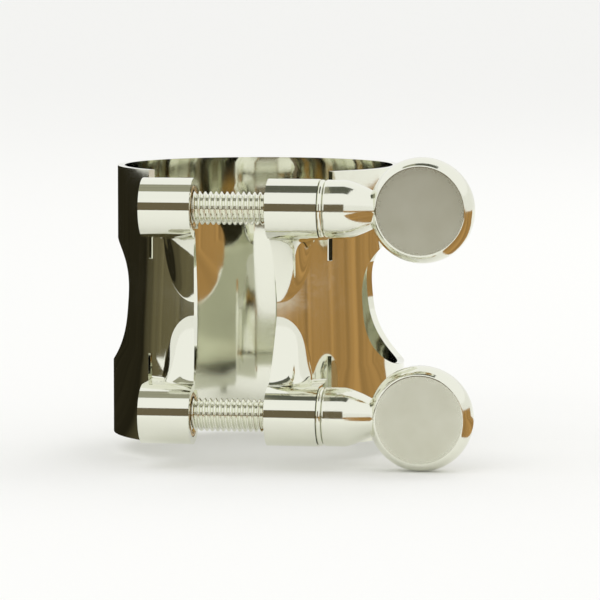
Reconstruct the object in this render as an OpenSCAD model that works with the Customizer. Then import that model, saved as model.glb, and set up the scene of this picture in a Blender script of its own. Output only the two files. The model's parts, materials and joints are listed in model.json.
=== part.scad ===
// Two-screw ligature for a clarinet mouthpiece: a sprung sheet band with a front gap, two side
// windows and four ears rolled round bushes, drawn together by two thumbscrews with coin heads.
// Millimetres, +Z up along the bore, front (gap and screws) towards -Y, screw heads towards +X.
// The origin is on the bore axis, in the plane of the band's bottom edge.

/* [Band] */
// Height of the band along the bore
band_h = 24.8; // [24.4:0.1:26]
// Thickness of the sheet
sheet_t = 0.65; // [0.6:0.05:0.8]
// Inner radius of the upper hoop
upper_bore_r = 12.45; // [12.2:0.05:12.6]
// Inner radius of the lower hoop
lower_bore_r = 12.9; // [12.7:0.05:13.2]
// Height of each plain hoop, above and below the windows
hoop_h = 6.5; // [6.3:0.1:6.8]

/* [Front gap] */
// Width of the gap at the top edge
gap_top = 6.7; // [6.6:0.1:7]
// Width of the gap at its widest, near mid-height
gap_mid = 7.6; // [7.4:0.1:8]
// Width of the gap at the bottom edge
gap_bottom = 6.3; // [6.2:0.1:6.6]

/* [Side windows] */
// How far a window reaches in front of the bore axis
window_front = 7.7; // [7:0.1:8]
// How far a window reaches behind the bore axis
window_back = 9.5; // [8.5:0.1:10]
// Radius of a window's rounded ends
window_end_r = 6.8; // [6.5:0.1:7.4]

/* [Rolled ears] */
// Outer diameter of an ear
ear_d = 5.4; // [5.2:0.1:5.6]
// Distance of an ear from its hoop's edge, along the bore
ear_edge = 0.4; // [0.2:0.05:0.6]
// Distance from the middle of the gap to an ear's inner end
ear_in = 3.4; // [3.3:0.05:3.5]
// Length of an ear along its screw
ear_len = 4.65; // [4.4:0.05:4.9]
// Width of the slit that frees an ear from its hoop
slit_w = 0.4; // [0.3:0.05:0.5]
// Width of the seam left open at the back of the roll
seam_w = 0.3; // [0.2:0.05:0.4]
// How high above the hoop's edge the slit ends
slit_h = 8.1; // [7.9:0.1:8.3]
// How high above the hoop's edge the flare begins at the gap
flare_gap_h = 11.8; // [11.6:0.1:12]
// How high above the hoop's edge the flare begins at the slit
flare_slit_h = 6.2; // [6.1:0.05:6.3]

/* [Screws] */
// Outside diameter of the thread
thread_d = 3; // [2.9:0.05:3.1]
// Thread pitch
pitch = 0.5; // [0.5:0.05:0.6]
// Diameter of the neck at its shoulder
neck_d = 5.3; // [5:0.1:5.4]
// Diameter of the neck where it meets the head
neck_end_d = 3.2; // [3:0.1:3.4]
// Length of the straight part of the neck
neck_straight = 1.8; // [1.5:0.1:2.2]
// Length of the whole neck
neck_len = 4.5; // [4.2:0.1:4.8]
// Thickness of the washer under the shoulder
washer_t = 0.5; // [0.4:0.05:0.6]

/* [Heads] */
// Diameter of a coin head
head_d = 9.5; // [9.2:0.1:9.8]
// Diameter of the flat on each side of a head
head_face_d = 8.1; // [7.8:0.1:8.3]
// Thickness of a head
head_t = 3.4; // [3.2:0.1:3.6]

/* [Hidden] */
$fn = 96;

nickel = [0.83, 0.82, 0.78];
nickel_bright = [0.88, 0.88, 0.85];
brass = [0.78, 0.64, 0.36];

// Overshoot of every cutter past the metal
over = 1;
// Facets of a full circle for the long arcs of the gap
arc_facets = 360;
// Depth that covers the front half of the band in a cut along Y
front_reach = 20;
// Depth that covers one side of the band in a cut along X
side_reach = 20;

// Band
mid_z = band_h / 2;
window_h = band_h - 2 * hoop_h;
function bore_r(z) =
  let (share = (z - hoop_h) / window_h)
  lower_bore_r + (upper_bore_r - lower_bore_r) * min(max(share, 0), 1);
function outer_r(z) = bore_r(z) + sheet_t;

// Gap edges: arcs that stand furthest apart at gap_z, found from the three gap widths
drop_top = (gap_mid - gap_top) / 2;
drop_bottom = (gap_mid - gap_bottom) / 2;
gap_z = band_h / (1 + sqrt(drop_top / drop_bottom));
gap_edge_r = (gap_z * gap_z + drop_bottom * drop_bottom) / (2 * drop_bottom);
gap_edge_x = gap_edge_r - gap_mid / 2;
function half_gap(z) = sqrt(gap_edge_r * gap_edge_r - pow(z - gap_z, 2)) - gap_edge_x;

// Ears
ear_r = ear_d / 2;
roll_r = ear_r - sheet_t;
ear_out = ear_in + ear_len;
ear_axis_h = ear_edge + ear_r;
// Clearance between an ear's back and the bore
bore_clear = 0.1;
// An ear's back is level with the bore at the gap, and just clear of it
function ear_forward(upper) =
  sqrt(pow(bore_r(upper ? band_h : 0), 2) - ear_in * ear_in) + bore_clear + ear_r;

// Flare: it leaves the band at a crease, which falls from the gap as a quarter of an ellipse and
// then runs level to the slit. Each slice across the screw is a quarter of a superellipse down to
// the top of the roll: almost a straight ramp at the gap, and almost a square bend at the slit.
// Its root is buried in the band's sheet and its end in the wall of the roll.
crease_share = 0.72;
crease_columns = 6;
level_columns = 1;
flare_columns = crease_columns + level_columns;
flare_rows = 8;
flare_gap_power = 1.08;
flare_slit_power = 5;
power_growth = 8;
flare_bury = 0.2;
flare_root_t = 0.3;
flare_mid_t = 0.58;
flare_inset = 0.05;
flare_end_bury = 0.25;
flare_end_h = ear_edge + ear_d - flare_end_bury;
// The band's own sheet ends inside the crease, because it has turned into the flare
relief_in = 0.6;
relief_gap_h = 10.2;
relief_slit_h = 5.4;

// Screws and bushes
thread_r = thread_d / 2;
thread_depth = 0.28;
bush_gap = 0.01;
// Radial clearance of the screw in a tapped bush, and in a plain bush or washer
tapped_clear = 0.05;
plain_clear = 0.08;
tapped_bore_r = thread_r + tapped_clear;
plain_bore_r = thread_r + plain_clear;
shoulder_x = ear_out + washer_t;
neck_end_x = shoulder_x + neck_len;
// The tip stops just inside the tapped bush, and the thread runs a little into the plain one
tip_inset = 0.6;
tip_x = -ear_out + tip_inset;
tip_chamfer = 0.4;
thread_run_in = 1;
thread_end_x = ear_in + thread_run_in;
ridges = floor((thread_end_x - tip_x - tip_chamfer) / pitch);
shoulder_bevel = 0.25;
washer_inset = 0.05;
washer_r = ear_r - washer_inset;

// Heads
head_r = head_d / 2;
head_sag = (head_d - head_face_d) / 2;
rim_r = (pow(head_t / 2, 2) + head_sag * head_sag) / (2 * head_sag);
head_overlap = 0.55;
head_x = neck_end_x + head_r - head_overlap;
// The spigot reaches spigot_len into the head, and starts spigot_root deep in the neck
spigot_r = 1.1;
spigot_len = 1.6;
spigot_root = 0.8;
spigot_gap = 0.02;

// Moves a shape made for the lower edge to the upper one
module at_edge(upper) {
  if (upper) translate([0, 0, band_h]) mirror([0, 0, 1]) children();
  else children();
}

// Moves a shape made along +Z at the origin on to a screw's axis, along +X
module on_screw_axis(upper) {
  translate([0, -ear_forward(upper), upper ? band_h - ear_axis_h : ear_axis_h])
    rotate([0, 90, 0]) children();
}

// Two cylindrical hoops joined by a slight cone, as one turned shell
module hoop_shell() {
  rotate_extrude()
    polygon([
      [lower_bore_r, 0],
      [lower_bore_r + sheet_t, 0],
      [lower_bore_r + sheet_t, hoop_h],
      [upper_bore_r + sheet_t, band_h - hoop_h],
      [upper_bore_r + sheet_t, band_h],
      [upper_bore_r, band_h],
      [upper_bore_r, band_h - hoop_h],
      [lower_bore_r, hoop_h]
    ]);
}

// The gap between the band's ends, bounded by two long arcs
module gap_cut() {
  rotate([90, 0, 0]) linear_extrude(front_reach) intersection() {
    translate([gap_edge_x, gap_z]) circle(gap_edge_r, $fn = arc_facets);
    translate([-gap_edge_x, gap_z]) circle(gap_edge_r, $fn = arc_facets);
    translate([-gap_mid, -over]) square([2 * gap_mid, band_h + 2 * over]);
  }
}

// Window outline, forward to the left: straight top and bottom, rounded ends
module window_outline() {
  intersection() {
    translate([-window_front, -window_h / 2]) square([window_front + window_back, window_h]);
    union() {
      translate([window_end_r - window_front, 0]) circle(window_end_r);
      translate([window_back - window_end_r, 0]) circle(window_end_r);
      translate([window_end_r - window_front, -window_h / 2])
        square([window_front + window_back - 2 * window_end_r, window_h]);
    }
  }
}

module window_cut() {
  for (side = [0, 1])
    mirror([side, 0, 0])
      translate([0, 0, mid_z]) rotate([90, 0, 90]) linear_extrude(side_reach) window_outline();
}

// What leaves the hoop's sheet at one corner: the ear's tab, and the slit beside it
module corner_relief() {
  fall = relief_gap_h - relief_slit_h;
  width = crease_share * ear_len - relief_in;
  rotate([90, 0, 0]) linear_extrude(front_reach)
    polygon([
      [0, -over],
      [ear_out + slit_w, -over],
      [ear_out + slit_w, slit_h],
      [ear_out, slit_h],
      [ear_out, relief_slit_h],
      for (column = [crease_columns : -1 : 0])
        let (turn = 90 * column / crease_columns)
        [ear_in + width * sin(turn), relief_slit_h + fall * cos(turn)],
      [0, relief_gap_h]
    ]);
}

// Share of the crease's fall that is behind at a distance x from the gap's middle
function crease_fallen(x) = min(max((x - ear_in) / (crease_share * ear_len), 0), 1);

// Height above the hoop's edge at which the flare begins there
function flare_begin(x) =
  flare_slit_h + (flare_gap_h - flare_slit_h) * sqrt(1 - pow(crease_fallen(x), 2));

function flare_power(x) =
  flare_gap_power + (flare_slit_power - flare_gap_power) * pow(crease_fallen(x), power_growth);

// Share of the flare's width at which a column stands: closer together where the crease is steep
function column_share(column) =
  column <= crease_columns
    ? crease_share * sin(90 * column / crease_columns)
    : crease_share + (1 - crease_share) * (column - crease_columns) / level_columns;

function flare_x(column, turn, upper) =
  let (height = flare_gap_h - (flare_gap_h - flare_end_h) * sin(turn))
  let (edge = half_gap(upper ? band_h - height : height) + flare_inset)
  let (start = ear_in + (edge - ear_in) * cos(turn))
  start + (ear_out - flare_inset - start) * column_share(column);

// One point of the flare's outer face
function flare_outer(column, row, upper) =
  let (turn = 90 * row / flare_rows)
  let (x = flare_x(column, turn, upper))
  let (begin_h = flare_begin(x))
  let (begin_r = outer_r(upper ? band_h - begin_h : begin_h))
  let (reach = ear_forward(upper) - sqrt(begin_r * begin_r - x * x) + flare_bury)
  let (power = flare_power(x))
  [
    x,
    reach * pow(cos(turn), 2 / power) - ear_forward(upper),
    begin_h - (begin_h - flare_end_h) * pow(sin(turn), 2 / power)
  ];

// The point behind it on the inner face, square to the sheet and no nearer to the gap than its edge
function flare_inner(column, row, upper) =
  let (turn = 90 * row / flare_rows)
  let (across = flare_outer(min(column + 1, flare_columns), row, upper)
    - flare_outer(max(column - 1, 0), row, upper))
  let (down = flare_outer(column, min(row + 1, flare_rows), upper)
    - flare_outer(column, max(row - 1, 0), upper))
  let (square = cross(across, down))
  let (thick = flare_root_t + (flare_mid_t - flare_root_t) * sin(2 * turn))
  let (inner = flare_outer(column, row, upper) + thick * square / norm(square))
  [max(inner[0], flare_x(0, turn, upper)), inner[1], inner[2]];

// The flared sheet between the band and a roll
module flare(upper) {
  wide = flare_columns + 1;
  layer = wide * (flare_rows + 1);
  points = [
    for (row = [0 : flare_rows], column = [0 : flare_columns]) flare_outer(column, row, upper),
    for (row = [0 : flare_rows], column = [0 : flare_columns]) flare_inner(column, row, upper)
  ];
  faces = [
    for (row = [0 : flare_rows - 1], column = [0 : flare_columns - 1])
      let (a = row * wide + column, b = a + 1, c = b + wide, d = a + wide)
      each [[a, b, c], [a, c, d], [layer + a, layer + c, layer + b], [layer + a, layer + d, layer + c]],
    for (column = [0 : flare_columns - 1])
      let (a = column, b = a + 1, c = flare_rows * wide + column, d = c + 1)
      each [[a, layer + a, layer + b], [a, layer + b, b], [c, d, layer + d], [c, layer + d, layer + c]],
    for (row = [0 : flare_rows - 1])
      let (a = row * wide, b = a + wide, c = a + flare_columns, d = c + wide)
      each [[layer + a, a, b], [layer + a, b, layer + b], [c, layer + c, layer + d], [c, layer + d, d]]
  ];
  polyhedron(points, faces);
}

// The rolled tube at the end of a flare, with its seam open at the back
module roll(upper) {
  seam_start = roll_r / 2;
  translate([ear_in, -ear_forward(upper), ear_axis_h]) rotate([0, 90, 0]) difference() {
    cylinder(h = ear_len, r = ear_r);
    translate([0, 0, -over]) cylinder(h = ear_len + 2 * over, r = roll_r);
    translate([-seam_w / 2, seam_start, -over]) cube([seam_w, ear_r, ear_len + 2 * over]);
  }
}

// One formed sheet: hoops, windows, gap, and an ear rolled at each front corner
module band() {
  color(nickel) union() {
    difference() {
      hoop_shell();
      gap_cut();
      window_cut();
      for (upper = [false, true], side = [0, 1])
        at_edge(upper) mirror([side, 0, 0]) corner_relief();
    }
    for (upper = [false, true], side = [0, 1])
      at_edge(upper) mirror([side, 0, 0]) {
        flare(upper);
        roll(upper);
      }
  }
}

// A bush that fills an ear, bored for its screw
module bush(upper, start_x, bore) {
  on_screw_axis(upper) translate([0, 0, start_x]) difference() {
    cylinder(h = ear_len, r = roll_r - bush_gap);
    translate([0, 0, -over]) cylinder(h = ear_len + 2 * over, r = bore);
  }
}

module tapped_bush(upper) {
  color(brass) bush(upper, -ear_out, tapped_bore_r);
}

module plain_bush(upper) {
  color(brass) bush(upper, ear_in, plain_bore_r);
}

module washer(upper) {
  color(nickel_bright) on_screw_axis(upper) translate([0, 0, ear_out]) difference() {
    cylinder(h = washer_t, r = washer_r);
    translate([0, 0, -over]) cylinder(h = washer_t + 2 * over, r = plain_bore_r);
  }
}

// Half section of a head: flat sides with a round rim between them
module head_section() {
  intersection() {
    translate([0, -head_t / 2]) square([head_r, head_t]);
    union() {
      translate([head_r - rim_r, 0]) circle(rim_r);
      translate([0, -head_t / 2]) square([head_r - rim_r, head_t]);
    }
  }
}

module head_blank(upper) {
  on_screw_axis(upper) translate([0, 0, head_x]) rotate([90, 0, 0]) rotate_extrude() head_section();
}

module spigot(upper, gap) {
  on_screw_axis(upper) translate([0, 0, head_x - head_r - spigot_root])
    cylinder(h = spigot_root + spigot_len + gap, r = spigot_r + gap);
}

// Threaded shank, shoulder and tapering neck, with a spigot that enters the head
module screw_shank(upper) {
  start = tip_x + tip_chamfer;
  ridge_points = [
    for (k = [0 : ridges - 1])
      each [
        [thread_r, start + k * pitch],
        [thread_r - thread_depth, start + (k + 0.5) * pitch]
      ]
  ];
  color(nickel) union() {
    difference() {
      on_screw_axis(upper) rotate_extrude() polygon(concat(
        [[0, tip_x], [thread_r - tip_chamfer, tip_x]],
        ridge_points,
        [
          [thread_r, start + ridges * pitch],
          [thread_r, shoulder_x],
          [neck_d / 2 - shoulder_bevel, shoulder_x],
          [neck_d / 2, shoulder_x + shoulder_bevel],
          [neck_d / 2, shoulder_x + neck_straight],
          [neck_end_d / 2, neck_end_x],
          [0, neck_end_x]
        ]
      ));
      head_blank(upper);
    }
    spigot(upper, 0);
  }
}

module screw_head(upper) {
  color(nickel_bright) difference() {
    head_blank(upper);
    spigot(upper, spigot_gap);
  }
}

band();
tapped_bush(true);  // upper_tapped_bush
tapped_bush(false);  // lower_tapped_bush
plain_bush(true);  // upper_plain_bush
plain_bush(false);  // lower_plain_bush
washer(true);  // upper_washer
washer(false);  // lower_washer
screw_shank(true);  // upper_screw_shank
screw_shank(false);  // lower_screw_shank
screw_head(true);  // upper_screw_head
screw_head(false);  // lower_screw_head
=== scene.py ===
"""Looks of a clarinet ligature: a plated sheet band with bushes, washers and coin-headed screws."""
import json
import math

import bmesh
import bpy
import numpy as np
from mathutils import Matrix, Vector


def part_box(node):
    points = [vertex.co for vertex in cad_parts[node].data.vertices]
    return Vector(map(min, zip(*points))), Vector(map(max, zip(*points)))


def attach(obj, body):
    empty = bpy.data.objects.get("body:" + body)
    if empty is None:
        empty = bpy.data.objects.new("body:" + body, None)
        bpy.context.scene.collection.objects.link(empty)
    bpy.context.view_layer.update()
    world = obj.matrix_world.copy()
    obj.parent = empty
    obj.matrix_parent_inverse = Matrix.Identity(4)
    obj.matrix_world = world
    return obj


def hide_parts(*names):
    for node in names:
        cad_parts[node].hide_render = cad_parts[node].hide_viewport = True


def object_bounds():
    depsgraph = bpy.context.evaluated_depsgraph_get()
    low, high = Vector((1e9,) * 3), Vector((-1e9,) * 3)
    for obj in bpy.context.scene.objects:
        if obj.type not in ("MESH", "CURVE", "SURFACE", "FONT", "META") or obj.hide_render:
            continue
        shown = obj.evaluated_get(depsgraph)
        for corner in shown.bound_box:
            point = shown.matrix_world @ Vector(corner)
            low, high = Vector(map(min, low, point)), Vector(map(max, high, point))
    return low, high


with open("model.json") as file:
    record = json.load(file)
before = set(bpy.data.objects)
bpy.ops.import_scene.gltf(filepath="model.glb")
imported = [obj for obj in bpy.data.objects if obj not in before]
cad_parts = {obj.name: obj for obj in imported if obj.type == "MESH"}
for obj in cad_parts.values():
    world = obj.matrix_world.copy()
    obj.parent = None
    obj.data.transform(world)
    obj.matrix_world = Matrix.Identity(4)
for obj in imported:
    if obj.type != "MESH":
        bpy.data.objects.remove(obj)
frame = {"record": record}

bl_info = {
    "name": "Clarinet Ligature",
    "version": (1, 0, 0),
    "blender": (4, 5, 0),
    "location": "View3D > Sidebar > Ligature",
    "description": "Builds a nickel-plated two-screw clarinet ligature and its studio",
    "category": "Object",
}

MM = 0.001
TURN = 2 * math.pi
QUARTER = math.pi / 2
LEVELS = ("lower", "upper")
CAD_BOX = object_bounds()
MOUNTS = {mount["name"]: mount["dims"] for mount in frame["record"]["mounts"]}
LOWER_BORE_R = MOUNTS["lower_hoop_clamp"]["r_mm"] * MM
UPPER_BORE_R = MOUNTS["upper_hoop_clamp"]["r_mm"] * MM
HOOP_H = MOUNTS["lower_hoop_clamp"]["length_mm"] * MM

# points nearer than this become one, and edges shorter than this go
MERGED = 0.001 * MM
SLIVER = 0.0001 * MM

# how many points the band's grids have, along and across
CREASE_COLUMNS, LEVEL_COLUMNS = 17, 6
ROLL_ROWS, FLARE_ROWS = 56, 25
SLIT_ROWS, SIDE_ROWS, HOOP_ROWS = 6, 25, 19
EDGE_COLUMNS, BACK_ROWS, RING_ROWS = 73, 41, 15
# and the turned pieces' grids, round and along
BUSH_ROUND, BUSH_ROWS = 72, 121
WASHER_ROUND, WASHER_ROWS = 96, 13
SHANK_ROUND, ROWS_PER_PITCH, SHOULDER_ROWS, NECK_ROWS = 64, 14, 7, 17
HEAD_ROUND, RIM_ROWS, CORNER_ROWS, FACE_ROWS = 128, 13, 8, 9
FLOOR_ROUND, SWEEP_ROWS = 96, 33

# a Mix node's colour sockets, by number, because its other kinds have the same names
MIX_A, MIX_B, MIXED = 6, 7, 2


def span(node_name):
    """Lowest and highest corner of a solid of the frame, as arrays."""
    low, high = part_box(node_name)
    return np.array(low), np.array(high)


def screw_axis(level):
    """Y and Z of a screw's axis, from the bush that it runs in."""
    low, high = span(f"{level}_tapped_bush")
    return (low[1:] + high[1:]) / 2


BAND_LOW, BAND_HIGH = span("band")
BAND_H = BAND_HIGH[2] - BAND_LOW[2]
EAR_R = screw_axis("lower")[0] - BAND_LOW[1]
EAR_IN, EAR_OUT = (corner[0] for corner in span("lower_plain_bush"))


def length(name, description, default_mm):
    """A length property in metres, given in millimetres."""
    return bpy.props.FloatProperty(
        name=name, description=description, default=default_mm * MM, min=0, precision=5,
        subtype="DISTANCE", unit="LENGTH")


def angle(name, description, default_degrees):
    """An angle property in radians, given in degrees."""
    return bpy.props.FloatProperty(
        name=name, description=description, default=math.radians(default_degrees),
        subtype="ANGLE", unit="ROTATION")


def linear(hex_colour):
    """An sRGB hex colour as linear red, green, blue and alpha."""
    srgb = np.array([int(hex_colour[place:place + 2], 16) for place in (1, 3, 5)]) / 255
    low, high = srgb / 12.92, ((srgb + 0.055) / 1.055) ** 2.4
    return (*np.where(srgb <= 0.04045, low, high).tolist(), 1.0)


def colour(name, description, hex_colour):
    """A colour property, given as an sRGB hex value."""
    return bpy.props.FloatVectorProperty(
        name=name, description=description, default=linear(hex_colour), size=4,
        min=0, max=1, subtype="COLOR")


class LigatureBand(bpy.types.PropertyGroup):
    """Sizes of the band"""
    sheet: length("Sheet", "Thickness of the plated brass sheet", 0.65)
    gap_top: length("Gap at top", "Width of the front gap at the top edge", 6.7)
    gap_middle: length("Gap at middle", "Widest part of the front gap", 7.6)
    gap_bottom: length("Gap at bottom", "Width of the front gap at the bottom edge", 6.3)
    gap_crease: length(
        "Crease at gap", "Height over a hoop's edge where a flare leaves the wall, at the gap", 11.8)
    slit_crease: length(
        "Crease at slit", "Height over a hoop's edge where a flare leaves the wall, at the slit", 6.2)
    crease_share: bpy.props.FloatProperty(
        name="Crease share", description="Share of an ear's length over which its crease falls",
        default=0.72, min=0.1, max=1, subtype="FACTOR")
    gap_power: bpy.props.FloatProperty(
        name="Flare at gap", description="Power of a flare's curve at the gap, 1 for a flat ramp",
        default=1.3, min=1)
    slit_power: bpy.props.FloatProperty(
        name="Flare at slit", description="Power of a flare's curve at the slit, high for a square bend",
        default=5, min=1)
    slit: length("Slit width", "Width of the saw cut beside each ear", 0.4)
    slit_end: length("Slit end", "Height over a hoop's edge where the saw cut ends", 8.1)
    window_centre: length(
        "Window centre", "Distance of a window's centre behind the bore axis", 0.9)
    window_width: length("Window width", "Length of a window from front to back", 17.2)
    window_height: length("Window height", "Height of a window", 11.8)
    window_squareness: bpy.props.FloatProperty(
        name="Window squareness", description="Power of a window's outline, 2 for an ellipse",
        default=2.8, min=2)
    roll: angle("Roll", "How far an ear's roll turns on from its flare", 318)
    edge: length("Edge rounding", "Rounding of the sheet's cut edges", 0.15)


class LigatureScrew(bpy.types.PropertyGroup):
    """Sizes of the screws, bushes and washers"""
    thread_r: length("Thread radius", "Outer radius of the thread", 1.5)
    pitch: length("Pitch", "Advance of the thread in one turn", 0.5)
    thread_depth: length("Thread depth", "Depth of the thread's groove", 0.28)
    tapped_clear: length("Tapped clearance", "Room round the thread in a tapped bush", 0.05)
    plain_clear: length("Plain clearance", "Room round the thread in a plain bush or washer", 0.08)
    tip_bevel: length("Tip bevel", "Chamfer at the screw's tip", 0.4)
    thread_len: length("Thread length", "Length of the thread from the tip", 11.85)
    run_out: length("Run-out", "Length over which the thread ends at the shoulder", 0.8)
    neck_r: length("Neck radius", "Radius of the shoulder and the straight neck", 2.65)
    neck_end_r: length("Neck end radius", "Radius of the neck where it meets the head", 1.6)
    neck_straight: length("Straight neck", "Length of the neck before its taper", 1.8)
    neck_len: length("Neck", "Length of the neck with its taper", 4.5)
    neck_power: bpy.props.FloatProperty(
        name="Neck power", description="Power of the neck's taper, 1 for a cone", default=1.4, min=1)
    neck_sunk: length("Neck sunk", "Depth of the neck's end inside the head", 0.6)
    face_r: length("Face radius", "Radius of the head's flat faces", 4.05)
    edge: length("Edge rounding", "Rounding of the turned edges", 0.12)
    washer_edge: length("Washer rounding", "Rounding of the washers' edges", 0.05)


class LigatureFinish(bpy.types.PropertyGroup):
    """Colours of the metals"""
    nickel: colour("Nickel", "Bright nickel plate", "#EBECDE")
    satin: colour("Satin nickel", "Satin nickel of the head faces", "#E8E9DA")
    film: colour("Film", "Satin nickel under a film of handling", "#D6D6C2")
    brass: colour("Brass", "Bare turned brass", "#C9A762")
    tarnish: colour("Tarnish", "Tarnished brass", "#A07B3E")


class LigatureStage(bpy.types.PropertyGroup):
    """Camera, floor and cards"""
    azimuth: angle("Azimuth", "Camera's turn from the front towards the screw heads", 9.6)
    elevation: angle("Elevation", "Camera's height angle", 5)
    distance: length("Distance", "Camera's distance from the bore axis", 407)
    lens: bpy.props.FloatProperty(
        name="Lens", description="Focal length in millimetres on a 36 mm frame", default=262, min=1,
        subtype="DISTANCE_CAMERA")
    floor: colour("Floor", "Pale matt floor", "#F4F4F2")
    lift: bpy.props.FloatProperty(
        name="Lift", description="Light added to the floor where it is seen", default=0.07,
        min=0, max=1, subtype="FACTOR")
    tan_card: colour("Tan card", "Warm card on the side of the heads", "#AA8450")
    olive_card: colour("Olive card", "Card away from the heads, which darkens to the back", "#686148")
    # painted shade: the share of the olive cards' glow left at their back
    olive_dark: bpy.props.FloatProperty(
        name="Olive at back", description="Share of the olive card's brightness left at its back",
        default=0.15, min=0, max=1, subtype="FACTOR")
    brown_card: colour("Brown card", "Low card in front", "#7E735C")
    grey_card: colour("Grey card", "Card overhead on the side of the heads", "#5E6056")
    pale_card: colour("Pale card", "Card overhead away from the heads", "#9D9C8A")


def smooth_step(share):
    """A rise from zero to one that starts and ends level: three squares less two cubes."""
    share = np.clip(share, 0, 1)
    return share * share * (3 - 2 * share)


def wall_radius(z):
    """Outer radius of the wall at a height: a smooth step from the lower hoop's to the upper one's."""
    sheet = bpy.context.scene.ligature_band.sheet
    step = smooth_step((z - HOOP_H) / (BAND_H - 2 * HOOP_H))
    return LOWER_BORE_R + sheet + (UPPER_BORE_R - LOWER_BORE_R) * step


def half_gap(z):
    """Half the gap's width at a height: one circle's arc through its top, middle and bottom widths."""
    sizes = bpy.context.scene.ligature_band
    drop_top = (sizes.gap_middle - sizes.gap_top) / 2
    drop_bottom = (sizes.gap_middle - sizes.gap_bottom) / 2
    middle = BAND_H / (1 + math.sqrt(drop_top / drop_bottom))
    arc_r = (middle ** 2 + drop_bottom ** 2) / (2 * drop_bottom)
    return np.sqrt(arc_r ** 2 - (z - middle) ** 2) - arc_r + sizes.gap_middle / 2


def around(count):
    """Angles of a full turn, as a row."""
    return np.linspace(0, TURN, count, endpoint=False)[None, :]


def grid_faces(rows, columns, first=0, closed=False):
    """Quads of a grid of points in row order, with its last column joined to its first if closed."""
    row, column = np.meshgrid(
        np.arange(rows - 1), np.arange(columns if closed else columns - 1), indexing="ij")
    here = row * columns + column
    beside = row * columns + (column + 1) % columns
    corners = (here, beside, beside + columns, here + columns)
    return first + np.stack(corners, axis=-1).reshape(-1, 4)


def new_piece(name, points, faces, materials, solid, body):
    """A smooth shaded mesh, its doubles merged, that rides a body in place of a solid of the frame."""
    mesh = bpy.data.meshes.new(name)
    mesh.from_pydata(np.asarray(points).reshape(-1, 3), [], np.asarray(faces).tolist())
    work = bmesh.new()
    work.from_mesh(mesh)
    bmesh.ops.remove_doubles(work, verts=work.verts, dist=MERGED)
    bmesh.ops.dissolve_degenerate(work, edges=work.edges, dist=SLIVER)
    work.to_mesh(mesh)
    work.free()
    mesh.polygons.foreach_set("use_smooth", np.ones(len(mesh.polygons), dtype=bool))
    for material in materials:
        mesh.materials.append(material)
    piece = bpy.data.objects.new(name, mesh)
    bpy.context.scene.collection.objects.link(piece)
    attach(piece, body)
    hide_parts(solid)
    return piece


def round_edges(piece, width, segments, sharp):
    """A narrow rounding along edges sharper than an angle, which catches the light as real edges do."""
    bevel = piece.modifiers.new("edge rounding", "BEVEL")
    bevel.width = width
    bevel.segments = segments
    bevel.limit_method = "ANGLE"
    bevel.angle_limit = math.radians(sharp)
    bevel.use_clamp_overlap = True
    bevel.harden_normals = True


def node(tree, kind, inputs=None, links=None, **settings):
    """Adds a shader node with its settings, input values and links from other nodes' outputs."""
    made = tree.nodes.new(kind)
    for name, value in settings.items():
        setattr(made, name, value)
    for name, value in (inputs or {}).items():
        made.inputs[name].default_value = value
    for name, source in (links or {}).items():
        tree.links.new(source, made.inputs[name])
    return made


def new_material(name):
    """An empty node material with its output, ready for a shader."""
    material = bpy.data.materials.new(name)
    material.use_nodes = True
    tree = material.node_tree
    tree.nodes.clear()
    return material, tree, tree.nodes.new("ShaderNodeOutputMaterial")


def shown_rays(tree):
    """An output that is one for rays that show the background, by eye, gloss or glass, or else zero."""
    rays = node(tree, "ShaderNodeLightPath").outputs
    mirrored = node(tree, "ShaderNodeMath", None,
                    {0: rays["Is Camera Ray"], 1: rays["Is Glossy Ray"]}, operation="MAXIMUM")
    shown = node(tree, "ShaderNodeMath", None,
                 {0: mirrored.outputs[0], 1: rays["Is Transmission Ray"]}, operation="MAXIMUM")
    return shown.outputs[0]


def bright_nickel_plate():
    """Bright nickel on drawn sheet: a near mirror, warm grey, faintly wavy and finely wiped."""
    material, tree, output = new_material("bright nickel plate on drawn brass sheet")
    place = node(tree, "ShaderNodeTexCoord").outputs["Object"]
    # waves of the drawn sheet, about 6 mm long, bend the reflections a little
    waves = node(tree, "ShaderNodeTexNoise",
                 {"Scale": 1 / (6 * MM), "Detail": 1.5, "Roughness": 0.4}, {"Vector": place})
    relief = node(tree, "ShaderNodeBump", {"Strength": 0.1, "Distance": 0.08 * MM},
                  {"Height": waves.outputs["Fac"]})
    # smudges of handling, about 4 mm across, dull the mirror in patches
    smudges = node(tree, "ShaderNodeTexNoise",
                   {"Scale": 1 / (4 * MM), "Detail": 3.0, "Roughness": 0.55}, {"Vector": place})
    dull = node(tree, "ShaderNodeMapRange",
                {"From Min": 0.4, "From Max": 0.75, "To Min": 0.05, "To Max": 0.09},
                {"Value": smudges.outputs["Fac"]})
    # wiping marks: real ones are some 0.02 mm wide, drawn at 0.15 mm so that they show
    drawn_out = node(tree, "ShaderNodeMapping", {"Scale": (0.25, 0.25, 1.0)}, {"Vector": place})
    wiping = node(tree, "ShaderNodeTexNoise",
                  {"Scale": 1 / (0.15 * MM), "Detail": 2.0, "Roughness": 0.6},
                  {"Vector": drawn_out.outputs["Vector"]})
    haze = node(tree, "ShaderNodeMapRange",
                {"From Min": 0.3, "From Max": 0.7, "To Min": -0.012, "To Max": 0.012},
                {"Value": wiping.outputs["Fac"]})
    rough = node(tree, "ShaderNodeMath", None,
                 {0: dull.outputs["Result"], 1: haze.outputs["Result"]}, operation="ADD")
    finish = bpy.context.scene.ligature_finish.nickel
    shader = node(tree, "ShaderNodeBsdfPrincipled", {"Base Color": finish, "Metallic": 1.0},
                  {"Roughness": rough.outputs["Value"], "Normal": relief.outputs["Normal"]})
    tree.links.new(shader.outputs["BSDF"], output.inputs["Surface"])
    return material


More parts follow.
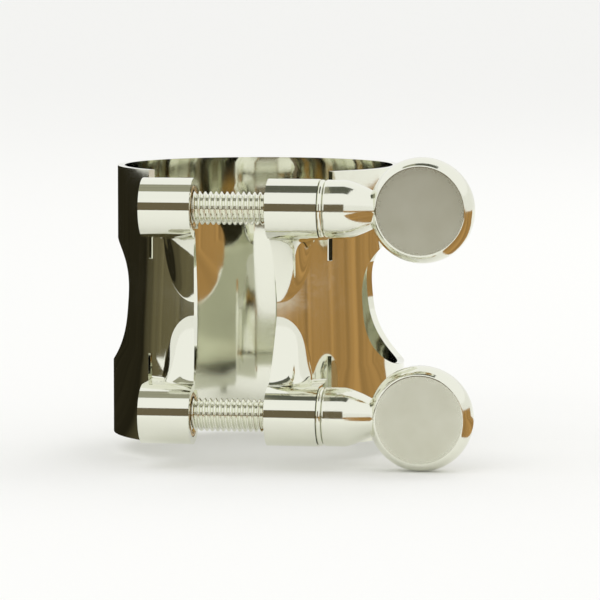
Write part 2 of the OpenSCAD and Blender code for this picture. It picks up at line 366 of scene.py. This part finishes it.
def tool_rings(tree, place):
    """Rings of a turning tool: real ones are some 0.05 mm apart, drawn at 0.12 mm so that they show."""
    along = node(tree, "ShaderNodeMapping", {"Scale": (1.0, 0.01, 0.01)}, {"Vector": place})
    rings = node(tree, "ShaderNodeTexNoise",
                 {"Scale": 1 / (0.12 * MM), "Detail": 1.0, "Roughness": 0.5},
                 {"Vector": along.outputs["Vector"]})
    return rings.outputs["Fac"]


def turned_nickel():
    """Nickel plate on turned brass: bright, with fine tool rings round the screw's axis."""
    material, tree, output = new_material("nickel plate on turned brass")
    rings = tool_rings(tree, node(tree, "ShaderNodeTexCoord").outputs["Object"])
    # the rings are a little duller than the lands between them
    rough = node(tree, "ShaderNodeMapRange",
                 {"From Min": 0.3, "From Max": 0.7, "To Min": 0.06, "To Max": 0.14},
                 {"Value": rings})
    relief = node(tree, "ShaderNodeBump", {"Strength": 0.12, "Distance": 0.01 * MM},
                  {"Height": rings})
    finish = bpy.context.scene.ligature_finish.nickel
    shader = node(tree, "ShaderNodeBsdfPrincipled", {"Base Color": finish, "Metallic": 1.0},
                  {"Roughness": rough.outputs["Result"], "Normal": relief.outputs["Normal"]})
    tree.links.new(shader.outputs["BSDF"], output.inputs["Surface"])
    return material


def satin_nickel():
    """Satin nickel of the head faces: an even sheen, finely mottled, and rubbed brighter at the rim."""
    material, tree, output = new_material("satin nickel plate on a turned face")
    finish = bpy.context.scene.ligature_finish
    place = node(tree, "ShaderNodeTexCoord").outputs["Object"]
    # fingers polish the face's edge: its last 0.9 mm
    radius = node(tree, "ShaderNodeAttribute", attribute_name="face_radius").outputs["Fac"]
    rubbed = node(tree, "ShaderNodeMapRange",
                  {"From Min": 3.1 * MM, "From Max": 4.0 * MM, "To Min": 0.31, "To Max": 0.26},
                  {"Value": radius})
    # mottle of the satin bath: real grains are some 0.02 mm across, drawn at 0.4 mm so that they show
    mottle = node(tree, "ShaderNodeTexNoise",
                  {"Scale": 1 / (0.4 * MM), "Detail": 2.0, "Roughness": 0.5}, {"Vector": place})
    grain = node(tree, "ShaderNodeMapRange", {"To Min": -0.02, "To Max": 0.02},
                 {"Value": mottle.outputs["Fac"]})
    rough = node(tree, "ShaderNodeMath", None,
                 {0: rubbed.outputs["Result"], 1: grain.outputs["Result"]}, operation="ADD")
    # a faint film of handling, about 2.5 mm across, shades the colour
    film = node(tree, "ShaderNodeTexNoise",
                {"Scale": 1 / (2.5 * MM), "Detail": 2.0, "Roughness": 0.5}, {"Vector": place})
    shade = node(tree, "ShaderNodeMix", {MIX_A: finish.satin, MIX_B: finish.film},
                 {"Factor": film.outputs["Fac"]}, data_type="RGBA")
    shader = node(tree, "ShaderNodeBsdfPrincipled", {"Metallic": 1.0},
                  {"Base Color": shade.outputs[MIXED], "Roughness": rough.outputs["Value"]})
    tree.links.new(shader.outputs["BSDF"], output.inputs["Surface"])
    return material


def turned_brass():
    """Bare turned brass: yellow, with tool rings and a slightly browner tarnish in patches."""
    material, tree, output = new_material("turned brass")
    finish = bpy.context.scene.ligature_finish
    place = node(tree, "ShaderNodeTexCoord").outputs["Object"]
    # tarnish patches, about 1.2 mm across, are browner and duller
    tarnish = node(tree, "ShaderNodeTexNoise",
                   {"Scale": 1 / (1.2 * MM), "Detail": 3.0, "Roughness": 0.6}, {"Vector": place})
    shade = node(tree, "ShaderNodeMix", {MIX_A: finish.brass, MIX_B: finish.tarnish},
                 {"Factor": tarnish.outputs["Fac"]}, data_type="RGBA")
    rough = node(tree, "ShaderNodeMapRange",
                 {"From Min": 0.3, "From Max": 0.7, "To Min": 0.2, "To Max": 0.34},
                 {"Value": tarnish.outputs["Fac"]})
    relief = node(tree, "ShaderNodeBump", {"Strength": 0.2, "Distance": 0.01 * MM},
                  {"Height": tool_rings(tree, place)})
    shader = node(tree, "ShaderNodeBsdfPrincipled", {"Metallic": 1.0},
                  {"Base Color": shade.outputs[MIXED], "Roughness": rough.outputs["Result"],
                   "Normal": relief.outputs["Normal"]})
    tree.links.new(shader.outputs["BSDF"], output.inputs["Surface"])
    return material


def ear_shares():
    """Shares of an ear's length at which the strip has its columns, as a row.

    They are at equal angles of the crease's quarter ellipse, and then even along its level rest.
    """
    fall = bpy.context.scene.ligature_band.crease_share
    falling = fall * np.sin(np.linspace(0, QUARTER, CREASE_COLUMNS))
    return np.concatenate((falling, np.linspace(fall, 1, LEVEL_COLUMNS)[1:]))[None, :]


def half_strip(level):
    """Roll and flare of one end's ear, as rows of x, forward and height from that end's edge.

    A row of the roll is a line along the ear, at one angle of a circle round the screw's axis. A row
    of the flare is at one angle of a quarter superellipse, which leaves the wall at the crease and
    lands on top of the roll. Its power grows from the gap, where it is nearly a flat ramp, to the
    slit, where it is nearly a square bend, with the eighth power of the share that the crease has
    fallen. The crease falls from the gap as a quarter ellipse, and then runs level to the slit.
    """
    sizes = bpy.context.scene.ligature_band
    axis_y, axis_z = screw_axis(level)
    forward = -axis_y
    axis_h = axis_z if level == "lower" else BAND_H - axis_z
    top_h = axis_h + EAR_R
    share = ear_shares()

    turn = np.linspace(sizes.roll, 0, ROLL_ROWS)[:, None]
    roll_x = EAR_IN + (EAR_OUT - EAR_IN) * share + 0 * turn
    roll_f = forward + EAR_R * np.sin(turn) + 0 * share
    roll_h = axis_h + EAR_R * np.cos(turn) + 0 * share

    turn = np.linspace(QUARTER, 0, FLARE_ROWS)[1:, None]
    edge_h = sizes.gap_crease - (sizes.gap_crease - top_h) * np.sin(turn)
    edge_z = edge_h if level == "lower" else BAND_H - edge_h
    edge_x = EAR_IN + (half_gap(edge_z) - EAR_IN) * np.cos(turn)
    flare_x = edge_x + (EAR_OUT - edge_x) * share
    fallen = np.clip(share / sizes.crease_share, 0, 1) + 0 * flare_x
    drop = sizes.gap_crease - sizes.slit_crease
    crease_h = sizes.slit_crease + drop * np.sqrt(1 - fallen ** 2)
    crease_z = crease_h if level == "lower" else BAND_H - crease_h
    power = sizes.gap_power + (sizes.slit_power - sizes.gap_power) * fallen ** 8
    reach = forward - np.sqrt(wall_radius(crease_z) ** 2 - flare_x ** 2)
    flare_f = forward - reach * np.abs(np.cos(turn)) ** (2 / power)
    flare_h = crease_h - (crease_h - top_h) * np.abs(np.sin(turn)) ** (2 / power)
    return (np.vstack(rows) for rows in ((roll_x, flare_x), (roll_f, flare_f), (roll_h, flare_h)))


def front_strip():
    """The strip beside the gap for x > 0, and the wall's bridge from it past the slits' ends.

    The strip runs from the lower roll over its flare, the wall between the creases and the upper flare
    to the upper roll. The bridge is one column of quads, as wide as a slit, between the slits' ends.
    """
    sizes = bpy.context.scene.ligature_band
    low_x, low_f, low_h = half_strip("lower")
    high_x, high_f, high_h = half_strip("upper")
    cut = (sizes.slit_end - sizes.slit_crease) / (BAND_H - 2 * sizes.slit_crease)
    beside = np.linspace(0, cut, SLIT_ROWS)[:-1]
    bridged = np.linspace(cut, 1 - cut, SIDE_ROWS)
    share = np.concatenate((beside, bridged, 1 - beside[::-1]))[:, None]
    wall_z = low_h[-1] + (BAND_H - high_h[-1] - low_h[-1]) * share
    wall_edge = half_gap(wall_z[:, :1])
    wall_x = wall_edge + (EAR_OUT - wall_edge) * ear_shares()
    wall_z = np.hstack((wall_z, wall_z[:, -1:]))
    wall_x = np.hstack((wall_x, np.full((len(wall_x), 1), EAR_OUT + sizes.slit)))
    wall_f = np.sqrt(wall_radius(wall_z) ** 2 - wall_x ** 2)

    x = np.vstack((low_x[:-1], wall_x[:, :-1], high_x[-2::-1]))
    forward = np.vstack((low_f[:-1], wall_f[:, :-1], high_f[-2::-1]))
    z = np.vstack((low_h[:-1], wall_z[:, :-1], BAND_H - high_h[-2::-1]))
    strip = np.stack((x, -forward, z), axis=-1)
    bridge = np.stack((wall_x, -wall_f, wall_z), axis=-1)[len(beside):-len(beside), -2:]
    return strip, bridge


def window_ring(bridge_z):
    """The rest of the wall for x > 0, as a ring of points round its window.

    It has straight lines, in angle and height, from the window's superellipse out to the slits' line,
    the top edge, the back and the bottom edge. Its rows at the slits' line meet the bridge's.
    """
    sizes = bpy.context.scene.ligature_band
    hoop_z = np.linspace(0, sizes.slit_end, HOOP_ROWS)[:-1]
    front_z = np.concatenate((hoop_z, bridge_z, BAND_H - hoop_z[::-1]))
    front_a = np.arcsin((EAR_OUT + sizes.slit) / wall_radius(front_z))
    over = np.linspace(0, 1, EDGE_COLUMNS)[1:]
    back_z = np.linspace(BAND_H, 0, BACK_ROWS)[1:]
    outer_a = np.concatenate((
        front_a, front_a[-1] + (math.pi - front_a[-1]) * over,
        np.full(len(back_z), math.pi), math.pi + (front_a[0] - math.pi) * over))
    outer_z = np.concatenate((front_z, np.full(len(over), BAND_H), back_z, np.zeros(len(over))))

    half_w, half_h = sizes.window_width / 2, sizes.window_height / 2
    corner = math.atan2(half_h, half_w)
    inner_t = np.concatenate((
        corner * (2 * front_z / BAND_H - 1), corner + (math.pi - 2 * corner) * over,
        math.pi + corner * (1 - 2 * back_z / BAND_H), math.pi + corner + (math.pi - 2 * corner) * over))
    power = sizes.window_squareness
    across = np.abs(np.cos(inner_t) / half_w) ** power
    upward = np.abs(np.sin(inner_t) / half_h) ** power
    reach = (across + upward) ** (-1 / power)
    inner_z = BAND_H / 2 + reach * np.sin(inner_t)
    inner_a = np.arccos((reach * np.cos(inner_t) - sizes.window_centre) / wall_radius(inner_z))

    share = np.linspace(0, 1, RING_ROWS)[:, None]
    ring_a = inner_a + (outer_a - inner_a) * share
    ring_z = inner_z + (outer_z - inner_z) * share
    ring_r = wall_radius(ring_z)
    return np.stack((ring_r * np.sin(ring_a), -ring_r * np.cos(ring_a), ring_z), axis=-1)


def half_band():
    """Outer face of one half of the band, x > 0, as points and faces that point outwards."""
    strip, bridge = front_strip()
    ring = window_ring(bridge[:, -1, 2])
    points, faces, first = [], [], 0
    for patch, closed in ((strip, False), (bridge, False), (ring, True)):
        faces.append(grid_faces(*patch.shape[:2], first, closed))
        points.append(patch.reshape(-1, 3))
        first += len(points[-1])
    return np.vstack(points), np.vstack(faces)


class LIGATURE_OT_band(bpy.types.Operator):
    """Forms the band: a sheet with its front gap, side windows, flares and rolled ears"""
    bl_idname = "ligature.band"
    bl_label = "Band"

    def execute(self, context):
        sizes = context.scene.ligature_band
        points, faces = half_band()
        mirrored = points * (-1, 1, 1)
        piece = new_piece(
            "plated_band", np.vstack((points, mirrored)),
            np.vstack((faces, faces[:, ::-1] + len(points))),
            [bright_nickel_plate()], "band", "band")
        wall = piece.modifiers.new("sheet", "SOLIDIFY")
        wall.thickness = sizes.sheet
        wall.offset = -1
        wall.use_even_offset = True
        round_edges(piece, sizes.edge, segments=3, sharp=50)
        return {"FINISHED"}


def turned(stations, radii, level, turn):
    """A turned shape: stations along X and their radii, carried round a screw's axis.

    The radii are a column, one for each station, or a grid of one for each station and angle.
    """
    axis_y, axis_z = screw_axis(level)
    x = stations[:, None] + 0 * turn
    return np.stack((x, axis_y - radii * np.cos(turn), axis_z + radii * np.sin(turn)), axis=-1)


def ring_faces(profile):
    """Outward faces of a turned ring whose profile closes on itself: the last row joins the first."""
    rows, columns = profile.shape[:2]
    return (grid_faces(rows + 1, columns, closed=True) % (rows * columns))[:, ::-1]


def closed_faces(profile):
    """Outward faces of a shape turned from end to end, whose first and last rows are points."""
    return grid_faces(*profile.shape[:2], closed=True)[:, ::-1]


def thread_groove(stations, turn, pitch, depth):
    """Depth of a right-hand thread's groove at each station and angle.

    The phase advances by one for each pitch along X and for each turn, and the groove is a V with
    rounded crest and root: half of one plus a cosine of the phase.
    """
    phase = stations[:, None] / pitch + turn / TURN
    return depth * (0.5 + 0.5 * np.cos(TURN * phase))


class LIGATURE_OT_bushes(bpy.types.Operator):
    """Turns the four brass bushes inside the ears, two of them tapped"""
    bl_idname = "ligature.bushes"
    bl_label = "Bushes"

    def execute(self, context):
        sizes = context.scene.ligature_screw
        brass = turned_brass()
        turn = around(BUSH_ROUND)
        lead = sizes.edge
        for level in LEVELS:
            for kind, clear in (("plain", sizes.plain_clear), ("tapped", sizes.tapped_clear)):
                low, high = span(f"{level}_{kind}_bush")
                left, right = low[0], high[0]
                outer_r, bore_r = (high[2] - low[2]) / 2, sizes.thread_r + clear
                stations = np.linspace(right - lead, left + lead, BUSH_ROWS)
                bore = np.full((BUSH_ROWS, BUSH_ROUND), bore_r)
                if kind == "tapped":
                    bore += thread_groove(stations, turn, sizes.pitch, sizes.thread_depth / 2)
                rim_r, mouth_r = outer_r - lead, bore_r + lead
                skin = np.array((rim_r, outer_r, outer_r, rim_r, mouth_r))[:, None]
                radii = np.vstack((skin + 0 * turn, bore, mouth_r + 0 * turn))
                ends = (left, left + lead, right - lead, right, right)
                profile = turned(np.concatenate((ends, stations, (left,))), radii, level, turn)
                new_piece(f"brass_{level}_{kind}_bush", profile, ring_faces(profile), [brass],
                          f"{level}_{kind}_bush", "band")
        return {"FINISHED"}


class LIGATURE_OT_washers(bpy.types.Operator):
    """Turns the two washers between ear and shoulder"""
    bl_idname = "ligature.washers"
    bl_label = "Washers"

    def execute(self, context):
        sizes = context.scene.ligature_screw
        nickel = turned_nickel()
        # the rim is half a circle, as wide as the washer is thick
        tilt = np.linspace(-QUARTER, QUARTER, WASHER_ROWS)
        for level in LEVELS:
            low, high = span(f"{level}_washer")
            middle, half_t = (low[0] + high[0]) / 2, (high[0] - low[0]) / 2
            outer_r, bore_r = (high[2] - low[2]) / 2, sizes.thread_r + sizes.plain_clear
            stations = np.concatenate((low[:1], middle + half_t * np.sin(tilt), high[:1]))
            rim = outer_r - half_t + half_t * np.cos(tilt)
            radii = np.concatenate(((bore_r,), rim, (bore_r,)))[:, None]
            profile = turned(stations, radii, level, around(WASHER_ROUND))
            piece = new_piece(f"nickel_{level}_washer", profile, ring_faces(profile), [nickel],
                              f"{level}_washer", f"{level}_washer")
            round_edges(piece, sizes.washer_edge, segments=2, sharp=35)
        return {"FINISHED"}


class LIGATURE_OT_screw_shanks(bpy.types.Operator):
    """Cuts the two threaded shanks with their shoulders and tapering necks"""
    bl_idname = "ligature.screw_shanks"
    bl_label = "Screw shanks"

    def execute(self, context):
        sizes = context.scene.ligature_screw
        nickel = turned_nickel()
        turn = around(SHANK_ROUND)
        for level in LEVELS:
            tip = span(f"{level}_screw_shank")[0][0]
            shoulder = span(f"{level}_washer")[1][0]
            # the thread grows from the tip's bevel and runs out before the shoulder
            threads = np.arange(tip, tip + sizes.thread_len, sizes.pitch / ROWS_PER_PITCH)
            point = np.clip((threads - tip) / sizes.tip_bevel, 0, 1)
            crest = sizes.thread_r - sizes.tip_bevel * (1 - point)
            run_out = np.clip((tip + sizes.thread_len - threads) / sizes.run_out, 0, 1)
            groove = thread_groove(threads, turn, sizes.pitch, sizes.thread_depth)
            cut = crest[:, None] - groove * (point * run_out)[:, None]
            # the shoulder's corner is a quarter circle
            tilt = np.linspace(0, QUARTER, SHOULDER_ROWS)
            corner = 2 * sizes.edge
            corner_x = shoulder + corner * (1 - np.cos(tilt))
            corner_r = sizes.neck_r - corner * (1 - np.sin(tilt))
            # the neck narrows by a power of its taper's length
            share = np.linspace(0, 1, NECK_ROWS)
            taper = sizes.neck_len - sizes.neck_straight
            taper_x = shoulder + sizes.neck_straight + taper * share
            taper_r = sizes.neck_r - (sizes.neck_r - sizes.neck_end_r) * share ** sizes.neck_power
            end = taper_x[-1] + sizes.neck_sunk
            stations = np.concatenate(((tip,), threads, (shoulder,), corner_x, taper_x, (end, end)))
            plain = np.concatenate(((sizes.thread_r,), corner_r, taper_r, (sizes.neck_end_r, 0)))
            radii = np.vstack((0 * turn, cut, plain[:, None] + 0 * turn))
            profile = turned(stations, radii, level, turn)
            new_piece(f"nickel_{level}_screw_shank", profile, closed_faces(profile), [nickel],
                      f"{level}_screw_shank", f"{level}_screw")
        return {"FINISHED"}


def head_profile(rim_r, half_t):
    """A coin head's profile from one face's centre to the other's, as radii and depths from its middle.

    The rim is an arc through both faces' edges. A curve of the second degree rounds each corner, from
    a point of the arc to one of the face, with the sharp corner as its middle control point.
    """
    sizes = bpy.context.scene.ligature_screw
    rise = rim_r - sizes.face_r
    arc_r = (rise ** 2 + half_t ** 2) / (2 * rise)
    last = math.asin(half_t / arc_r) - sizes.edge / arc_r
    tilt = np.linspace(0, last, RIM_ROWS)
    arc = np.stack((rim_r - arc_r + arc_r * np.cos(tilt), arc_r * np.sin(tilt)))
    rim, start = arc[:, :-1], arc[:, -1:]
    corner = np.array(((sizes.face_r,), (half_t,)))
    stop = np.array(((sizes.face_r - sizes.edge,), (half_t,)))
    ease = np.linspace(0, 1, CORNER_ROWS)
    rounding = (1 - ease) ** 2 * start + 2 * ease * (1 - ease) * corner + ease ** 2 * stop
    flat_r = np.concatenate((
        (sizes.face_r - 1.2 * sizes.edge,), np.linspace(sizes.face_r - 2 * sizes.edge, 0, FACE_ROWS)))
    face = np.stack((flat_r, np.full(len(flat_r), half_t)))
    half = np.hstack((rim, rounding, face))
    return np.hstack((half[:, :0:-1] * ((1,), (-1,)), half))


class LIGATURE_OT_screw_heads(bpy.types.Operator):
    """Turns the two coin heads with their satin faces and polished, rounded rims"""
    bl_idname = "ligature.screw_heads"
    bl_label = "Screw heads"

    def execute(self, context):
        polished, satin = turned_nickel(), satin_nickel()
        turn = around(HEAD_ROUND)
        flat_cosine = 0.999
        for level in LEVELS:
            low, high = span(f"{level}_screw_head")
            rim_r, half_t = (high[2] - low[2]) / 2, (high[1] - low[1]) / 2
            centre_x = high[0] - rim_r
            centre_y, centre_z = screw_axis(level)
            radius, depth = head_profile(rim_r, half_t)[:, :, None]
            profile = np.stack((
                centre_x + radius * np.cos(turn), centre_y + depth + 0 * turn,
                centre_z + radius * np.sin(turn)), axis=-1)
            piece = new_piece(
                f"nickel_{level}_screw_head", profile, closed_faces(profile), [polished, satin],
                f"{level}_screw_head", f"{level}_screw")
            # the flat faces are satin, and each point keeps its distance from the head's centre
            mesh = piece.data
            facing = np.empty(3 * len(mesh.polygons))
            mesh.polygons.foreach_get("normal", facing)
            flat = np.abs(facing[1::3]) > flat_cosine
            mesh.polygons.foreach_set("material_index", flat.astype(np.int32))
            spot = np.empty(3 * len(mesh.vertices))
            mesh.vertices.foreach_get("co", spot)
            reach = np.hypot(spot[0::3] - centre_x, spot[2::3] - centre_z)
            mesh.attributes.new("face_radius", "FLOAT", "POINT").data.foreach_set("value", reach)
        return {"FINISHED"}


def matt_white_paper():
    """Matt white paper: a faint fibre and no gloss, lifted to white where it is seen, shadow kept."""
    stage = bpy.context.scene.ligature_stage
    material, tree, output = new_material("matt white paper")
    place = node(tree, "ShaderNodeTexCoord").outputs["Object"]
    # fibre: real ones are some 0.03 mm wide, drawn at 0.8 mm so that they show
    fibre = node(tree, "ShaderNodeTexNoise", {"Scale": 1 / (0.8 * MM), "Detail": 2.0},
                 {"Vector": place})
    relief = node(tree, "ShaderNodeBump", {"Strength": 0.05, "Distance": 0.02 * MM},
                  {"Height": fibre.outputs["Fac"]})
    lift = node(tree, "ShaderNodeMath", {1: stage.lift}, {0: shown_rays(tree)},
                operation="MULTIPLY")
    paper = node(tree, "ShaderNodeBsdfPrincipled",
                 {"Base Color": stage.floor, "Roughness": 0.9, "Specular IOR Level": 0.0,
                  "Emission Color": stage.floor},
                 {"Normal": relief.outputs["Normal"], "Emission Strength": lift.outputs[0]})
    tree.links.new(paper.outputs["BSDF"], output.inputs["Surface"])
    return material


def swept_floor(floor_z):
    """A flat floor that sweeps up all round: a smooth step of 1 m in height from 1 m to 3 m away."""
    turn = around(FLOOR_ROUND)
    reach = np.concatenate(((0.0, 0.4, 0.8), np.linspace(1, 3, SWEEP_ROWS)))[:, None]
    height = floor_z + smooth_step((reach - 1) / 2)
    sweep = np.stack((reach * np.cos(turn), reach * np.sin(turn), height + 0 * turn), axis=-1)
    mesh = bpy.data.meshes.new("floor")
    mesh.from_pydata(sweep.reshape(-1, 3), [], grid_faces(*sweep.shape[:2], closed=True).tolist())
    mesh.polygons.foreach_set("use_smooth", np.ones(len(mesh.polygons), dtype=bool))
    mesh.materials.append(matt_white_paper())
    floor = bpy.data.objects.new("floor", mesh)
    bpy.context.scene.collection.objects.link(floor)


def glowing_card(name, finish, last):
    """Glowing card as bright as its colour, with painted fold shade and painted shade to the back.

    The fall is from all of its brightness, 28 mm in front of the bore axis, to the last share of it,
    2 mm behind the axis.
    """
    material, tree, output = new_material(f"{name} glow_card")
    place = node(tree, "ShaderNodeTexCoord").outputs["Object"]
    # painted fold shade, about 14 mm apart, runs up and down the reflections
    backwards = node(tree, "ShaderNodeMapping", {"Scale": (0.0, 1.0, 0.0)}, {"Vector": place})
    painted_fold_shade = node(tree, "ShaderNodeTexNoise", {"Scale": 1 / (14 * MM), "Detail": 2.0},
                 {"Vector": backwards.outputs["Vector"]})
    level = node(tree, "ShaderNodeMapRange",
                 {"From Min": 0.3, "From Max": 0.7, "To Min": 0.65, "To Max": 1.35},
                 {"Value": painted_fold_shade.outputs["Fac"]})
    depth = node(tree, "ShaderNodeSeparateXYZ", None, {"Vector": place})
    # painted shade: the glow falls off towards the back
    fall = node(tree, "ShaderNodeMapRange",
                {"From Min": -28 * MM, "From Max": 2 * MM, "To Min": 1.0, "To Max": last},
                {"Value": depth.outputs["Y"]})
    strength = node(tree, "ShaderNodeMath", None,
                    {0: level.outputs["Result"], 1: fall.outputs["Result"]}, operation="MULTIPLY")
    # the card is an emitter, so its brightness and shade are painted, not lit
    shader = node(tree, "ShaderNodeEmission", {"Color": finish},
                  {"Strength": strength.outputs["Value"]})
    tree.links.new(shader.outputs["Emission"], output.inputs["Surface"])
    return material


def card(name, finish, last, corners):
    """A flat studio card between four corners, given in millimetres, which only reflections see."""
    mesh = bpy.data.meshes.new(name)
    mesh.from_pydata(np.asarray(corners, dtype=float) * MM, [], [(0, 1, 2, 3)])
    mesh.materials.append(glowing_card(name, finish, last))
    made = bpy.data.objects.new(name, mesh)
    bpy.context.scene.collection.objects.link(made)
    made.visible_camera = made.visible_diffuse = False
    made.visible_shadow = made.visible_transmission = False


def upright(start, end, bottom, top):
    """Corners of an upright card over the line between two places."""
    return (*start, bottom), (*end, bottom), (*end, top), (*start, top)


def lying(height, *places):
    """Corners of a level card at a height."""
    return [(*place, height) for place in places]


def reflection_cards(floor_z):
    """The cards that the metal mirrors: olive left, tan right, brown in front, grey and pale above."""
    stage = bpy.context.scene.ligature_stage
    clear_of_floor = 0.05
    low, top, over = floor_z / MM + clear_of_floor, 17, 260
    # the olive cards glow with painted shade towards their back
    olive, dark, even = stage.olive_card, stage.olive_dark, 1.0
    for name, finish, last, corners in (
            ("olive_side", olive, dark, upright((-140, -90), (-140, 300), low, top)),
            ("olive_under", olive, dark, lying(low, (-140, -37), (-15, -37), (-15, 300), (-140, 300))),
            ("olive_back", olive, dark, upright((-140, 300), (-16, 300), low, top)),
            ("olive_corner", olive, dark, upright((-90, -190), (-140, -90), low, top)),
            ("tan_side", stage.tan_card, even, upright((105, -140), (105, 60), low, top)),
            ("tan_corner", stage.tan_card, even, upright((45, -190), (105, -140), low, top)),
            ("tan_under", stage.tan_card, even,
             lying(low, (27, -80), (105, -140), (105, 60), (27, 20))),
            ("brown_front", stage.brown_card, even, upright((-100, -200), (50, -200), 0, 100)),
            ("grey_over", stage.grey_card, even,
             lying(over, (-40, -112), (90, -112), (90, 42), (-40, 42))),
            ("pale_over", stage.pale_card, even,
             lying(over, (-120, -112), (-40, -112), (-40, 42), (-120, 42)))):
        card(name, finish, last, corners)


class LIGATURE_OT_stage(bpy.types.Operator):
    """Sets the pale floor, the soft lights, the cards that the metal reflects, and the camera"""
    bl_idname = "ligature.stage"
    bl_label = "Stage"

    def execute(self, context):
        scene, stage = context.scene, context.scene.ligature_stage
        floor_z = CAD_BOX[0][2]
        centre = (CAD_BOX[0] + CAD_BOX[1]) / 2
        swept_floor(floor_z)
        reflection_cards(floor_z)

        # white where it is seen, and a little less as light
        world = bpy.data.worlds.new("white studio")
        scene.world = world
        world.use_nodes = True
        tree = world.node_tree
        tree.nodes.clear()
        level = node(tree, "ShaderNodeMapRange", {"To Min": 0.94, "To Max": 1.0},
                     {"Value": shown_rays(tree)})
        air = node(tree, "ShaderNodeBackground", {"Color": (1, 1, 1, 1)},
                   {"Strength": level.outputs["Result"]})
        sky = node(tree, "ShaderNodeOutputWorld")
        tree.links.new(air.outputs["Background"], sky.inputs["Surface"])

        # reflections see the world instead of the lamps, so that the two don't add up
        for name, place, size, watts in (
                ("front softbox", (-0.12, -0.36, 0.26), (0.34, 0.12), 0.13),
                ("back softbox", (0.2, 0.3, 0.4), (0.3, 0.3), 0.25)):
            lamp = bpy.data.lights.new(name, "AREA")
            lamp.shape = "RECTANGLE"
            lamp.size, lamp.size_y = size
            lamp.energy = watts
            made = bpy.data.objects.new(name, lamp)
            made.location = place
            made.rotation_euler = (centre - Vector(place)).to_track_quat("-Z", "Y").to_euler()
            made.visible_camera = made.visible_glossy = False
            scene.collection.objects.link(made)

        lens = bpy.data.cameras.new("camera")
        lens.lens = stage.lens
        lens.clip_start, lens.clip_end = 0.01, 10
        camera = bpy.data.objects.new("camera", lens)
        scene.collection.objects.link(camera)
        level_reach = math.cos(stage.elevation)
        towards = Vector((
            math.sin(stage.azimuth) * level_reach, -math.cos(stage.azimuth) * level_reach,
            math.sin(stage.elevation)))
        camera.location = Vector((0, 0, BAND_H / 2)) + towards * stage.distance
        camera.rotation_euler = (centre - camera.location).to_track_quat("-Z", "Y").to_euler()
        scene.camera = camera
        scene.view_settings.view_transform = "Standard"
        return {"FINISHED"}


OPERATORS = (
    LIGATURE_OT_band, LIGATURE_OT_bushes, LIGATURE_OT_washers, LIGATURE_OT_screw_shanks,
    LIGATURE_OT_screw_heads, LIGATURE_OT_stage,
)
GROUPS = {
    "ligature_band": LigatureBand, "ligature_screw": LigatureScrew,
    "ligature_finish": LigatureFinish, "ligature_stage": LigatureStage,
}


class LIGATURE_PT_sidebar(bpy.types.Panel):
    """Sizes, colours and steps of the ligature"""
    bl_idname = "LIGATURE_PT_sidebar"
    bl_label = "Clarinet Ligature"
    bl_space_type = "VIEW_3D"
    bl_region_type = "UI"
    bl_category = "Ligature"

    def draw(self, context):
        for group in GROUPS:
            box = self.layout.box()
            settings = getattr(context.scene, group)
            for name in settings.__annotations__:
                box.prop(settings, name)
        for step in OPERATORS:
            self.layout.operator(step.bl_idname)


def register():
    for group in (*GROUPS.values(), *OPERATORS, LIGATURE_PT_sidebar):
        bpy.utils.register_class(group)
    for name, group in GROUPS.items():
        setattr(bpy.types.Scene, name, bpy.props.PointerProperty(type=group))


def unregister():
    for name in GROUPS:
        delattr(bpy.types.Scene, name)
    for group in (LIGATURE_PT_sidebar, *reversed(OPERATORS), *GROUPS.values()):
        bpy.utils.unregister_class(group)


def main():
    """Builds the pieces and the stage."""
    register()
    bpy.ops.ligature.band()
    bpy.ops.ligature.bushes()
    bpy.ops.ligature.washers()
    bpy.ops.ligature.screw_shanks()
    bpy.ops.ligature.screw_heads()
    bpy.ops.ligature.stage()


if __name__ == "__main__":
    main()
